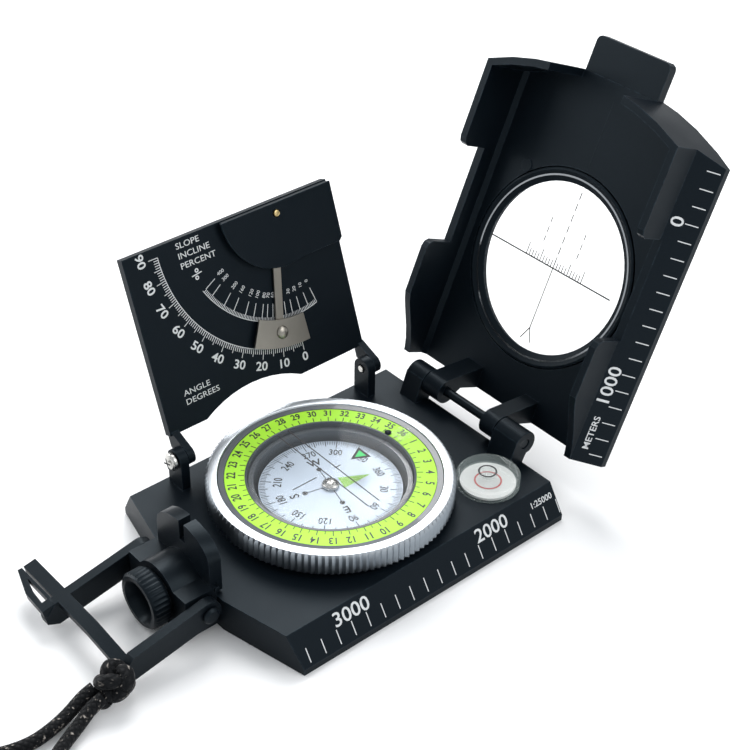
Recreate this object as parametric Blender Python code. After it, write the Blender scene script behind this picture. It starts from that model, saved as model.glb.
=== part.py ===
"""Sighting compass with folding lid, turning bezel, clinometer leaf, focusing eyepiece, thumb loop and lanyard.

The compass lies on its flat underside. +Y is the sighting direction, from the eyepiece to the lid hinge, +X is
the ruler side and +Z is up. The bezel's axis is the Z axis. Sizes are in millimetres and become metres in mm().
"""

from math import atan2, cos, pi, radians, sin

import bmesh
import bpy
from mathutils import Matrix, Vector

GAP = 0.3

# Base casting
TOP = 8.4                       # top surface of the base
TOP_HALF, FOOT_HALF, LIP = 27.9, 32.4, 1.6
FRONT, REAR, NOSE = -34.2, 40.8, -38.4
NOSE_HALF = 11.6
WALL = 2.0

# Lid hinge and lid
HINGE_Y, HINGE_Z = 41.8, 12.8
LID_ANGLE = 66.4                # how far the lid stands up from lying flat
KNUCKLE_R, PIN_R = 3.1, 1.1
BASE_KNUCKLES = ((-18.4, -12.9), (11.3, 18.6))
LID_KNUCKLES = ((-12.6, -7.3), (6.7, 11.0))
LID_BOTTOM, LID_INNER, LID_EDGE, LID_RIM = -12.8, -10.3, -4.9, 2.4
LID_ROOT, LID_END, TAB_END = 1.0, 79.9, 88.2
LID_ARCH = ((33.5, 72.3), (27.9, 75.0), (21.0, 77.6), (15.0, 79.2), (10.6, 79.9))
TAB_HALF = 10.6
LID_WALL = 1.8
CUT_FROM, CUT_TO = 30.5, 54.5   # the walls are low here, beside the bezel
WINDOW_Y, WINDOW_R, RING_R = 35.6, 20.4, 23.2

# Bezel and capsule
BEZEL_R, BEZEL_LOW, BEZEL_TOP = 27.1, 9.1, 14.9
TEETH, TOOTH = 60, 0.55
DIAL_R, DIAL_IN, BORE_R = 23.4, 18.9, 18.6
BOWL_R, BOWL_LOW, BOWL_TOP = 18.1, 3.4, 13.2
CARD_R, CARD_Z = 16.0, 10.4
CARD_TURN = -15.0

# Bubble level
LEVEL_X, LEVEL_Y, LEVEL_R = 19.4, 29.6, 7.2

# Clinometer leaf: w is out of its face, v is up along it from the hinge axis
LEAF_X, LEAF_Z, LEAF_TILT = -24.4, 15.6, 20.0
LEAF_FROM, LEAF_TO = -22.6, 33.6
LEAF_LOW, LEAF_HIGH = 4.4, 45.8
FACE_W, LEAF_THICK = -2.6, 2.0
LUG_R, LUG_THICK = 2.6, 2.2
LUGS = (-24.6, 29.7)
PIVOT_Y, PIVOT_V = 17.2, 43.2
SWING = 12.4                    # the pendulum stands this far towards the front

# Eyepiece
EYE_Z, EYE_R = 7.2, 7.2
BLOCK_HALF, BLOCK_FROM, BLOCK_TO = 10.2, -46.5, -38.7
SIGHT_HALF, SIGHT_TOP = 9.3, 22.4
PIN_Y, PIN_Z = -38.6, 10.6      # the cross pin that holds the block on the base

# Thumb loop
LOOP_Y, LOOP_Z, LOOP_DROP = -42.5, 8.0, 10.5
ARM_IN, ARM_OUT, ARM_HALF = 10.7, 12.9, 3.0
BAR_FROM, BAR_TO = -19.0, -22.0

# Lanyard
CORD = 2.8
KNOT = (12.6, -67.9, 4.3)
STRAND_LEFT = ((11.3, -72.5, 2.9), (12.2, -76.5, 1.8), (13.2, -81.0, 1.5), (13.6, -86.0, 1.5), (12.2, -91.5, 1.5),
               (9.2, -97.0, 1.5), (5.4, -101.8, 1.5))
STRAND_RIGHT = ((14.7, -72.5, 2.9), (16.0, -76.5, 1.8), (18.0, -81.0, 1.5), (20.9, -86.0, 1.5), (25.2, -91.0, 1.5),
                (30.8, -96.0, 1.5), (36.8, -101.4, 1.5))
COIL = (21.0, -118.0)
COIL_R, COIL_IN = 18.6, 12.9     # centrelines of the hank's outer and inner turns


def mm(*values):
    return Vector([v * 0.001 for v in values])


def clear_scene():
    for obj in list(bpy.data.objects):
        bpy.data.objects.remove(obj, do_unlink=True)


def collection(name, hidden=False):
    made = bpy.data.collections.new(name)
    bpy.context.scene.collection.children.link(made)
    made.hide_render = hidden
    return made


def material(name, colour, roughness, metallic=0.0, alpha=1.0):
    made = bpy.data.materials.get(name) or bpy.data.materials.new(name)
    made.use_nodes = True
    shader = made.node_tree.nodes["Principled BSDF"]
    shader.inputs["Base Color"].default_value = (*colour, 1.0)
    shader.inputs["Roughness"].default_value = roughness
    shader.inputs["Metallic"].default_value = metallic
    shader.inputs["Alpha"].default_value = alpha
    made.diffuse_color = (*colour, alpha)
    return made


PAINT = ("black_paint", (0.022, 0.026, 0.032), 0.42)
STEEL = ("steel", (0.55, 0.55, 0.55), 0.3, 1.0)
ALUMINIUM = ("aluminium", (0.78, 0.79, 0.8), 0.3, 1.0)
BRASS = ("brass", (0.7, 0.52, 0.25), 0.3, 1.0)
CLEAR = ("clear", (0.9, 0.95, 0.97), 0.05, 0.0, 0.25)
NYLON = ("nylon", (0.012, 0.012, 0.014), 0.85)


def add(name, mesh, look, home, parent=None, smooth=False):
    """Links a mesh as a named object, with its own copy of a look."""
    obj = bpy.data.objects.new(name, mesh)
    obj.data.materials.clear()
    obj.data.materials.append(material(f"{name}_{look[0]}", *look[1:]))
    home.objects.link(obj)
    if parent:
        obj.parent = parent
    if smooth:
        for face in mesh.polygons:
            face.use_smooth = True
    return obj


def mesh_of(bm, name="shape"):
    bmesh.ops.recalc_face_normals(bm, faces=bm.faces)
    mesh = bpy.data.meshes.new(name)
    bm.to_mesh(mesh)
    bm.free()
    return mesh


def box(x0, x1, y0, y1, z0, z1):
    bm = bmesh.new()
    size = mm(x1 - x0, y1 - y0, z1 - z0)
    middle = mm((x0 + x1) / 2, (y0 + y1) / 2, (z0 + z1) / 2)
    bmesh.ops.create_cube(bm, size=1.0, matrix=Matrix.Translation(middle) @ Matrix.Diagonal((*size, 1.0)))
    return mesh_of(bm)


def rod(radius, a, b, segments=32, radius_b=None):
    """A round bar, or a cone, from a to b."""
    a, b = mm(*a), mm(*b)
    turn = (b - a).to_track_quat("Z", "Y").to_matrix().to_4x4()
    bm = bmesh.new()
    bmesh.ops.create_cone(bm, cap_ends=True, segments=segments, radius1=radius * 0.001,
                          radius2=(radius if radius_b is None else radius_b) * 0.001, depth=(b - a).length,
                          matrix=Matrix.Translation((a + b) / 2) @ turn)
    return mesh_of(bm)


def prism(outlines, low, high, axis="Z"):
    """Flat outlines, the first solid and the others holes, given thickness along an axis."""
    curve = bpy.data.curves.new("outline", "CURVE")
    curve.dimensions, curve.fill_mode = "2D", "BOTH"
    curve.extrude = (high - low) * 0.0005
    for outline in outlines:
        spline = curve.splines.new("POLY")
        spline.points.add(len(outline) - 1)
        for point, (u, v) in zip(spline.points, outline):
            point.co = (u * 0.001, v * 0.001, 0.0, 1.0)
        spline.use_cyclic_u = True
    holder = bpy.data.objects.new("outline", curve)
    bpy.context.scene.collection.objects.link(holder)
    bpy.context.view_layer.update()
    mesh = bpy.data.meshes.new_from_object(holder.evaluated_get(bpy.context.evaluated_depsgraph_get()))
    bpy.data.objects.remove(holder, do_unlink=True)
    middle = (low + high) * 0.0005
    turns = {
        "Z": Matrix.Translation((0, 0, middle)),
        "X": Matrix.Translation((middle, 0, 0)) @ Matrix(((0, 0, 1, 0), (1, 0, 0, 0), (0, 1, 0, 0), (0, 0, 0, 1))),
        "Y": Matrix.Translation((0, middle, 0)) @ Matrix(((1, 0, 0, 0), (0, 0, -1, 0), (0, 1, 0, 0), (0, 0, 0, 1))),
    }
    mesh.transform(turns[axis])
    bm = bmesh.new()
    bm.from_mesh(mesh)
    bmesh.ops.remove_doubles(bm, verts=bm.verts, dist=1e-6)
    bpy.data.meshes.remove(mesh)
    return mesh_of(bm)


def lathe(profile, segments=64, middle=(0.0, 0.0, 0.0), axis="Z"):
    """A closed outline of (radius, height) spun about an axis through middle."""
    bm = bmesh.new()
    points = [bm.verts.new(mm(max(radius, 0.0), 0.0, height)) for radius, height in profile]
    edges = [bm.edges.new((a, b)) for a, b in zip(points, points[1:] + points[:1])
             if a.co.x > 0 or b.co.x > 0]
    bmesh.ops.spin(bm, geom=points + edges, cent=(0, 0, 0), axis=(0, 0, 1), angle=2 * pi, steps=segments,
                   use_merge=True)
    bmesh.ops.remove_doubles(bm, verts=bm.verts, dist=1e-6)
    if axis == "Y":
        bmesh.ops.rotate(bm, verts=bm.verts, cent=(0, 0, 0), matrix=Matrix.Rotation(-pi / 2, 3, "X"))
    bmesh.ops.translate(bm, verts=bm.verts, vec=mm(*middle))
    return mesh_of(bm)


def circle(cx, cy, radius, segments=48, start=0.0, turn=360.0):
    """Points round a circle, or along an arc that includes both its ends."""
    count = segments if turn == 360.0 else segments + 1
    return [(cx + radius * cos(radians(start + turn * i / segments)),
             cy + radius * sin(radians(start + turn * i / segments))) for i in range(count)]


def combine(obj, tools, operation):
    """Booleans each tool mesh into the object, and keeps the result as its mesh."""
    for number, mesh in enumerate(tools):
        tool = bpy.data.objects.new(f"{obj.name}_{operation.lower()}_{number}", mesh)
        tool.display_type = "WIRE"
        CUTTERS.objects.link(tool)
        tool.parent = obj.parent
        modifier = obj.modifiers.new(tool.name, "BOOLEAN")
        modifier.operation, modifier.solver, modifier.object = operation, "EXACT", tool
        tool.hide_render = True


def cut(obj, *tools):
    combine(obj, tools, "DIFFERENCE")


def join(obj, *tools):
    combine(obj, tools, "UNION")


def pivot(name, at, turn=(0.0, 0.0, 0.0)):
    """An empty on a joint's axis, which carries the pieces that move with it."""
    empty = bpy.data.objects.new(name, None)
    empty.empty_display_size = 0.01
    empty.location = mm(*at)
    empty.rotation_euler = [radians(t) for t in turn]
    PART.objects.link(empty)
    return empty


# ---------------------------------------------------------------- base

def knuckle(x0, x1, foot):
    """A hinge ear: a disc round the hinge axis joined to a foot on the casting."""
    centre = (HINGE_Y, HINGE_Z)
    disc = circle(*centre, KNUCKLE_R, 18, -60.0, 210.0)
    return prism([disc + foot], x0, x1, "X")


def base():
    side = [(-FOOT_HALF, 0.0), (FOOT_HALF, 0.0), (FOOT_HALF, LIP), (TOP_HALF, TOP), (-TOP_HALF, TOP),
            (-FOOT_HALF, LIP)]
    housing = add("base_housing", prism([side], NOSE, REAR, "Y"), PAINT, PART)
    corner = [(FOOT_HALF + 5, NOSE - 3), (NOSE_HALF, NOSE - 3), (NOSE_HALF, NOSE), (FOOT_HALF, FRONT + 0.6),
              (FOOT_HALF + 5, FRONT + 1.2)]
    for sign in (1, -1):
        cut(housing, prism([[(sign * x, y) for x, y in corner]], -2.0, TOP + 2.0))
    cut(housing, rod(BOWL_R + GAP, (0, 0, 2.6), (0, 0, TOP + 1), 64))
    room = [(-25.5, -31.6), (-10.6, -35.6), (10.6, -35.6), (25.5, -31.6), (28.5, -26.0), (28.5, 37.6),
            (-28.5, 37.6), (-28.5, -26.0)]
    cut(housing, prism([room], -1.0, 2.2))
    foot = [(39.0, 14.6), (36.4, TOP - 1.0), (REAR - 0.2, TOP - 1.6), (REAR + 1.6, 10.0)]
    for x0, x1 in BASE_KNUCKLES:
        join(housing, knuckle(x0, x1, foot))
        cut(housing, rod(PIN_R + GAP / 2, (x0 - 1, HINGE_Y, HINGE_Z), (x1 + 1, HINGE_Y, HINGE_Z), 20))
    for y in LUGS:
        post = circle(LEAF_X, LEAF_Z, LUG_R, 12, 0.0, 180.0) + [(LEAF_X - LUG_R, TOP - 1), (LEAF_X + LUG_R, TOP - 1)]
        join(housing, prism([post], y, y + LUG_THICK, "Y"))
        cut(housing, rod(1.1, (LEAF_X, y - 1, LEAF_Z), (LEAF_X, y + LUG_THICK + 1, LEAF_Z), 16))

    floor = [(-25.2, -31.2), (-10.4, -35.2), (10.4, -35.2), (25.2, -31.2), (28.2, -25.8), (28.2, 37.3),
             (-28.2, 37.3), (-28.2, -25.8)]
    cover = add("bottom_cover", prism([floor], 0.0, 1.7), PAINT, PART)
    for number, (x, y) in enumerate(((-23, -26), (23, -26), (23, 32), (-23, 32)), 1):
        cut(cover, rod(1.3, (x, y, -1), (x, y, 3), 16))
        cut(housing, rod(1.3, (x, y, 1.0), (x, y, 4.6), 16))
        head = lathe([(0, 0.2), (2.0, 0.2), (1.0, 1.3), (1.0, 4.2), (0, 4.2)], 16, (x, y, 0))
        cut(cover, lathe([(0, -0.5), (2.3, -0.5), (2.3, 0.25), (1.3, 1.4), (0, 1.4)], 16, (x, y, 0)))
        add(f"cover_screw_{number}", head, STEEL, PART, smooth=False)

    x0, x1 = BASE_KNUCKLES[0][0] + 0.2, BASE_KNUCKLES[1][1] - 0.2
    add("lid_hinge_pin", rod(PIN_R, (x0, HINGE_Y, HINGE_Z), (x1, HINGE_Y, HINGE_Z), 20), STEEL, PART)
    front, rear = LUGS
    ear = LUG_THICK + GAP + 1.7
    shaft = lathe([(0, 0), (0.85, 0), (0.85, ear), (2.1, ear), (2.1, ear + 0.7), (1.5, ear + 1.1), (0, ear + 1.1)],
                  16, (LEAF_X, front + ear - 0.3, LEAF_Z), "Y")
    shaft.transform(Matrix.Translation(mm(LEAF_X, front + ear - 0.3, LEAF_Z)) @ Matrix.Rotation(pi, 4, "Z")
                    @ Matrix.Translation(-mm(LEAF_X, front + ear - 0.3, LEAF_Z)))
    add("leaf_hinge_screw", shaft, STEEL, PART)
    add("leaf_hinge_pin", rod(0.85, (LEAF_X, rear - 0.3, LEAF_Z), (LEAF_X, rear + ear, LEAF_Z), 16), STEEL, PART)


def capsule():
    wall = 1.1
    bowl = [(0, BOWL_LOW), (BOWL_R, BOWL_LOW), (BOWL_R, BOWL_TOP), (BOWL_R - wall, BOWL_TOP),
            (BOWL_R - wall, BOWL_LOW + wall), (1.0, BOWL_LOW + wall), (1.0, BOWL_LOW + 2.4), (0, BOWL_LOW + 2.4)]
    add("capsule_bowl", lathe(bowl, 64), ("grey", (0.5, 0.52, 0.54), 0.5), PART, smooth=False)
    needle = [(0, 6.0), (0.9, 6.0), (0.9, 7.2), (0.45, 8.2), (0.12, 10.6), (0, 10.6)]
    add("pivot_needle", lathe(needle, 12), STEEL, PART)


def card():
    turn = pivot("card_axis", (0, 0, CARD_Z), (0, 0, CARD_TURN))
    disc = [(1.3, 0.0), (CARD_R, 0.0), (CARD_R, 0.5), (1.3, 0.5)]
    add("compass_card", lathe(disc, 64), ("card", (0.78, 0.84, 0.88), 0.4), PART, turn)
    add("card_magnet", box(-2.0, 2.0, 3.0, 13.0, -1.5, -0.3), STEEL, PART, turn)
    cap = [(0.0, 0.5), (0.9, -0.6), (1.0, -0.6), (1.0, 0.8), (2.0, 0.8), (1.9, 1.3), (1.2, 1.8), (0.0, 2.0)]
    add("jewel_cap", lathe(cap, 24), ALUMINIUM, PART, turn)


def bezel():
    turn = pivot("bezel_axis", (0, 0, 0))
    body = [(BORE_R, BEZEL_LOW), (BEZEL_R - 0.6, BEZEL_LOW), (BEZEL_R - 0.1, BEZEL_LOW + 0.5),
            (BEZEL_R - 0.1, BEZEL_TOP - 0.3), (BEZEL_R - 0.5, BEZEL_TOP), (25.0, BEZEL_TOP), (23.8, 14.4),
            (23.8, 13.6), (BORE_R, 13.6)]
    ring = add("bezel_ring", lathe(body, 72), ALUMINIUM, PART, turn)
    teeth = []
    for i in range(TEETH * 2):
        radius = BEZEL_R + (TOOTH if i % 2 else 0.05)
        teeth.append((radius * cos(pi * i / TEETH), radius * sin(pi * i / TEETH)))
    join(ring, prism([teeth, circle(0, 0, 25.9, 60)], BEZEL_LOW + 0.7, BEZEL_TOP - 0.5))
    dial = [(DIAL_IN, 13.75), (DIAL_R, 13.75), (DIAL_R, 14.35), (DIAL_IN, 14.35)]
    add("graduated_ring", lathe(dial, 72), ("green", (0.36, 0.78, 0.05), 0.5), PART, turn)
    glass = [(0, 13.6), (18.3, 13.6), (18.3, 14.9), (17.8, 15.4), (0, 15.4)]
    add("bezel_crystal", lathe(glass, 64), CLEAR, PART, turn)
    tab = [(-1.9, 18.9), (1.9, 18.9), (1.9, 21.6)] + circle(0, 21.6, 1.9, 8, 0.0, 180.0)[1:-1] + [(-1.9, 21.6)]
    add("index_lens", prism([tab], 14.65, 15.5), CLEAR, PART, turn)


def level():
    seat = lathe([(0, TOP + 0.2), (LEVEL_R - 0.9, TOP + 0.2), (LEVEL_R - 0.9, TOP + 0.8), (0, TOP + 0.8)], 40,
                 (LEVEL_X, LEVEL_Y, 0))
    add("level_seat", seat, ("white", (0.86, 0.86, 0.84), 0.5), PART)
    r = LEVEL_R
    vial = [(0, TOP + 1.1), (r - 0.6, TOP + 1.1), (r - 0.6, TOP + 0.2), (r, TOP + 0.2), (r, TOP + 2.6),
            (r - 0.4, TOP + 3.0), (0, TOP + 3.0)]
    add("level_vial", lathe(vial, 40, (LEVEL_X, LEVEL_Y, 0)), CLEAR, PART)


# ---------------------------------------------------------------- lid

def lid():
    turn = pivot("lid_axis", (0, HINGE_Y, HINGE_Z), (LID_ANGLE, 0, 0))
    inner = TOP_HALF - LID_WALL
    side = [(-FOOT_HALF, LID_BOTTOM), (FOOT_HALF, LID_BOTTOM), (FOOT_HALF, LID_BOTTOM + LIP),
            (TOP_HALF, LID_EDGE), (TOP_HALF, LID_RIM), (inner, LID_RIM), (inner, LID_INNER + 1.0),
            (inner - 1.0, LID_INNER), (1.0 - inner, LID_INNER), (-inner, LID_INNER + 1.0), (-inner, LID_RIM),
            (-TOP_HALF, LID_RIM), (-TOP_HALF, LID_EDGE), (-FOOT_HALF, LID_BOTTOM + LIP)]
    shell = add("lid_shell", prism([side], LID_ROOT, LID_END, "Y"), PAINT, PART, turn)
    fall = [(-1.0, 5.0), (18.0, 5.0), (16.6, 2.3), (14.6, 1.5), (11.4, -0.2), (7.8, -2.2), (4.4, -3.8), (1.6, -4.7),
            (-1.0, -4.9)]
    notch = [(CUT_FROM, LID_EDGE - 0.4), (CUT_TO, LID_EDGE - 0.4), (CUT_TO, 0.8), (CUT_TO + 0.6, 1.9),
             (CUT_TO + 1.8, 2.35), (CUT_TO + 1.8, 4.0), (CUT_FROM - 1.8, 4.0), (CUT_FROM - 1.8, 2.35),
             (CUT_FROM - 0.6, 1.9), (CUT_FROM, 0.8)]
    for sign in (1, -1):
        bank = [(x, y - LID_WALL) for x, y in LID_ARCH if x < inner]
        bank = [(sign * x, y) for x, y in [(inner + 0.5, 73.7)] + bank + [(TAB_HALF, 82.0), (inner + 0.5, 82.0)]]
        join(shell, prism([bank], LID_INNER - 1, LID_RIM))
        wedge = [(sign * x, y) for x, y in LID_ARCH + ((TAB_HALF, 84.0), (33.5, 84.0))]
        cut(shell, prism([wedge], LID_BOTTOM - 2, LID_RIM + 2))
        x0, x1 = sorted((sign * (inner - 3.0), sign * (FOOT_HALF + 1)))
        cut(shell, prism([fall], x0, x1, "X"), prism([notch], x0, x1, "X"))
    tab = [(-TAB_HALF, LID_END - 3), (TAB_HALF, LID_END - 3), (TAB_HALF, TAB_END - 1.2), (TAB_HALF - 0.4, TAB_END - 0.4),
           (TAB_HALF - 1.2, TAB_END), (1.2 - TAB_HALF, TAB_END), (0.4 - TAB_HALF, TAB_END - 0.4),
           (-TAB_HALF, TAB_END - 1.2)]
    join(shell, prism([tab], LID_BOTTOM, LID_INNER - 0.2))
    cut(shell, rod(WINDOW_R + GAP, (0, WINDOW_Y, LID_BOTTOM - 1), (0, WINDOW_Y, LID_INNER + 1), 64))
    cut(shell, rod(RING_R + GAP, (0, WINDOW_Y, LID_BOTTOM + 1.2), (0, WINDOW_Y, LID_INNER + 1), 64))
    join(shell, rod(1.5, (-16.5, 54.5, LID_INNER - 0.4), (-16.5, 54.5, LID_INNER + 0.2), 24))
    for x0, x1 in LID_KNUCKLES:
        ear = circle(0, 0, KNUCKLE_R, 18, 20.0, 240.0) + [(0.9, -4.4), (0.9, LID_BOTTOM + 0.4),
                                                          (6.5, LID_BOTTOM + 0.4), (6.5, LID_INNER - 0.5)]
        join(shell, prism([ear], x0, x1, "X"))
        cut(shell, rod(PIN_R + GAP / 2, (x0 - 1, 0, 0), (x1 + 1, 0, 0), 20))
    glass = lathe([(0, LID_BOTTOM + 0.3), (WINDOW_R, LID_BOTTOM + 0.3), (WINDOW_R, LID_BOTTOM + 1.1),
                   (0, LID_BOTTOM + 1.1)], 64, (0, WINDOW_Y, 0))
    add("lid_window", glass, CLEAR, PART, turn)
    ring = lathe([(WINDOW_R - 0.3, LID_BOTTOM + 1.5), (RING_R, LID_BOTTOM + 1.5), (RING_R, LID_INNER + 0.2),
                  (RING_R - 0.5, LID_INNER + 0.4), (WINDOW_R + 1.2, LID_INNER - 0.1),
                  (WINDOW_R - 0.3, LID_BOTTOM + 1.8)], 64, (0, WINDOW_Y, 0))
    add("window_ring", ring, PAINT, PART, turn)


# ---------------------------------------------------------------- clinometer

def clinometer():
    turn = pivot("leaf_axis", (LEAF_X, 0, LEAF_Z), (0, -LEAF_TILT, 0))
    back = FACE_W - LEAF_THICK
    arch = [(y, v) for y, v in circle(1.0, LEAF_LOW - 25.0, 28.4, 10, 61.5, 57.0)]
    outline = [(LEAF_TO, LEAF_LOW)] + arch + [(LEAF_FROM, LEAF_LOW), (LEAF_FROM, LEAF_HIGH), (LEAF_TO, LEAF_HIGH)]
    leaf = add("clinometer_leaf", prism([outline], back, FACE_W, "X"), PAINT, PART, turn)
    for y0 in (LUGS[0] + LUG_THICK + GAP, LUGS[1] + LUG_THICK + GAP):
        y1 = y0 + 1.8
        hub = [(x, z) for x, z in circle(0, 0, 2.2, 12, -90.0, 150.0)]
        ear = hub + [(FACE_W - 0.3, LEAF_LOW + 1.0), (back + 0.02, LEAF_LOW + 1.0), (back + 0.02, LEAF_LOW - 3.0)]
        join(leaf, prism([ear], y0, y1, "Y"))
        cut(leaf, rod(1.05, (0, y0 - 1, 0), (0, y1 + 1, 0), 16))
    guard = circle(PIVOT_Y, LEAF_HIGH - 0.2, 14.8, 14, 180.0, 98.0)
    guard += [(22.0, 31.3), (LEAF_TO - 1.0, 31.3), (LEAF_TO - 0.2, 32.1), (LEAF_TO - 0.2, LEAF_HIGH - 0.2)]
    cover = add("pendulum_cover", prism([guard], -1.4, -0.8, "X"), PAINT, PART, turn)
    rail = [(PIVOT_Y - 14.2, LEAF_HIGH - 0.7), (LEAF_TO - 0.6, LEAF_HIGH - 0.7), (LEAF_TO - 0.6, LEAF_HIGH - 0.2),
            (PIVOT_Y - 14.2, LEAF_HIGH - 0.2)]
    join(cover, prism([rail], FACE_W + 0.2, -1.0, "X"))
    cut(cover, rod(1.0, (-3, PIVOT_Y, PIVOT_V), (0, PIVOT_Y, PIVOT_V), 16))
    add("pendulum_pivot", rod(0.75, (FACE_W + 0.1, PIVOT_Y, PIVOT_V), (-0.5, PIVOT_Y, PIVOT_V), 16), BRASS, PART, turn)

    swing = pivot("pendulum_axis", (0, PIVOT_Y, PIVOT_V), (-SWING, 0, 0))
    swing.parent = turn
    arm = [(-1.0, -1.6), (-1.0, -29.5), (0.0, -31.4), (1.0, -29.5), (1.0, -1.6)] + circle(0, 0, 1.8, 10, -60.0, 300.0)
    bar = add("pendulum_arm", prism([arm, circle(0, 0, 1.0, 12)], -2.25, -1.75, "X"), STEEL, PART, swing)
    cut(bar, rod(0.95, (-3, 0, -27.4), (0, 0, -27.4), 12))
    sector = circle(0, 0, 31.0, 10, 255.5, 29.0) + circle(0, 0, 24.4, 10, 284.5, -29.0)
    add("pendulum_weight", prism([sector, circle(0, -27.4, 0.95, 12)], -1.55, -1.0, "X"), STEEL, PART, swing)
    rivet = lathe([(0, 0), (0.7, 0), (0.7, 1.45), (1.6, 1.45), (1.3, 1.9), (0.6, 2.15), (0, 2.2)], 16)
    rivet.transform(Matrix.Translation(mm(-2.35, 0, -27.4)) @ Matrix.Rotation(pi / 2, 4, "Y"))
    add("weight_rivet", rivet, STEEL, PART, swing)


# ---------------------------------------------------------------- eyepiece, thumb loop, lanyard

def eyepiece():
    block = add("eyepiece_block", box(-BLOCK_HALF, BLOCK_HALF, BLOCK_FROM, BLOCK_TO, 1.2, 11.4), PAINT, PART)
    join(block, rod(EYE_R, (0, BLOCK_FROM, EYE_Z), (0, BLOCK_TO, EYE_Z), 40))
    cut(block, box(-12, 12, BLOCK_FROM - 1, BLOCK_TO + 1, -2, 0.6))
    arch = [(SIGHT_HALF, 16.8), (8.8, 18.8), (7.4, 20.4), (5.2, 21.6), (2.6, 22.2)]
    brow = [(-SIGHT_HALF, 9.0), (SIGHT_HALF, 9.0)] + arch + [(0, SIGHT_TOP)] + [(-x, z) for x, z in arch[::-1]]
    join(block, prism([brow], -39.6, -36.6, "Y"))
    cut(block, box(-0.9, 0.9, -41, -35, 17.4, 24))
    cut(block, rod(5.2, (0, BLOCK_FROM - 1, EYE_Z), (0, BLOCK_TO + 0.1, EYE_Z), 32))
    cut(block, box(-12, 12, BLOCK_TO, -35, -2, 9.0))
    cut(block, rod(0.85, (-12, PIN_Y, PIN_Z), (12, PIN_Y, PIN_Z), 16))
    for sign in (1, -1):
        cut(block, rod(1.0, (sign * 5.6, LOOP_Y, LOOP_Z), (sign * 12, LOOP_Y, LOOP_Z), 16))
        shaft = lathe([(0, 0), (0.75, 0), (0.75, 5.6), (1.9, 5.6), (1.9, 6.0), (1.4, 6.5), (0, 6.5)], 16)
        shaft.transform(Matrix.Translation(mm(sign * 7.6, LOOP_Y, LOOP_Z)) @ Matrix.Rotation(sign * pi / 2, 4, "Y"))
        add(f"loop_screw_{'right' if sign > 0 else 'left'}", shaft, STEEL, PART)
    add("eyepiece_pin", rod(0.7, (-10.4, PIN_Y, PIN_Z), (10.4, PIN_Y, PIN_Z), 16), STEEL, PART)
    tube = lathe([(4.0, 0), (4.9, 0), (4.9, 5.4), (4.0, 5.4)], 32, (0, -46.0, EYE_Z), "Y")
    add("eyepiece_tube", tube, PAINT, PART)
    lens = lathe([(0, 0), (1.6, 0.12), (3.7, 0.6), (3.7, 1.2), (1.6, 1.68), (0, 1.8)], 32, (0, -45.2, EYE_Z), "Y")
    add("eyepiece_lens", lens, CLEAR, PART)
    ring = [(5.4, 0.0), (6.3, 0.0), (6.5, 0.3), (6.5, 4.1), (6.3, 4.4), (3.8, 4.4), (3.8, 3.0)]
    turn = pivot("focus_axis", (0, -51.4, EYE_Z))
    focus = add("focus_ring", lathe(ring, 48, axis="Y"), PAINT, PART, turn)
    ribs = []
    for i in range(48):
        radius = 6.6 if i % 2 else 6.3
        ribs.append((radius * cos(pi * i / 24), radius * sin(pi * i / 24)))
    join(focus, prism([ribs, circle(0, 0, 5.9, 32)], 0.7, 3.8, "Y"))


def thumb_loop():
    turn = pivot("loop_axis", (0, LOOP_Y, LOOP_Z), (LOOP_DROP, 0, 0))
    arm = circle(0, 0, ARM_HALF, 12, -90.0, 180.0)
    arm += [(-22.0, ARM_HALF), (-25.0, 0.4), (-25.0, -1.2), (-22.5, -ARM_HALF)]
    loop = add("thumb_loop", prism([arm], -ARM_OUT, -ARM_IN, "X"), PAINT, PART, turn)
    right = circle(0, 0, ARM_HALF, 12, -90.0, 180.0)
    right += [(-18.4, ARM_HALF), (-21.2, 0.6), (-21.2, -2.4), (-20.4, -ARM_HALF)]
    join(loop, prism([right], ARM_IN, ARM_OUT, "X"))
    bar = [(-24.6, 3.0), (-0.6, 3.0), (11.4, 0.6), (11.4, -1.6), (-0.6, 0.9), (-24.6, 0.9)]
    join(loop, prism([bar], BAR_TO + 0.8, BAR_FROM + 0.8, "Y"))
    eye = [(-24.6, BAR_TO + 0.4), (-24.8, BAR_TO - 0.6), (-18.0, -24.8), (-10.9, -25.0), (-10.9, BAR_TO + 0.4)]
    hole = [(-21.4, BAR_TO - 0.3), (-17.0, -23.4), (-13.2, -23.7), (-13.2, BAR_TO - 0.3)]
    join(loop, prism([eye, hole], 0.9, 2.9))
    for sign in (1, -1):
        cut(loop, rod(1.0, (sign * 9, 0, 0), (sign * 14, 0, 0), 16))


def cord_mesh(route):
    """A round cord along a smooth route, as one closed solid."""
    curve = bpy.data.curves.new("cord", "CURVE")
    curve.dimensions, curve.bevel_depth, curve.bevel_resolution = "3D", CORD * 0.0005, 2
    curve.use_fill_caps = True
    spline = curve.splines.new("POLY")
    spline.points.add(len(route) - 1)
    for point, place in zip(spline.points, route):
        point.co = (*mm(*place), 1.0)
    holder = bpy.data.objects.new("cord", curve)
    bpy.context.scene.collection.objects.link(holder)
    bpy.context.view_layer.update()
    mesh = bpy.data.meshes.new_from_object(holder.evaluated_get(bpy.context.evaluated_depsgraph_get()))
    bpy.data.objects.remove(holder, do_unlink=True)
    bm = bmesh.new()
    bm.from_mesh(mesh)
    bmesh.ops.remove_doubles(bm, verts=bm.verts, dist=1e-6)
    bpy.data.meshes.remove(mesh)
    return mesh_of(bm)


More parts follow.
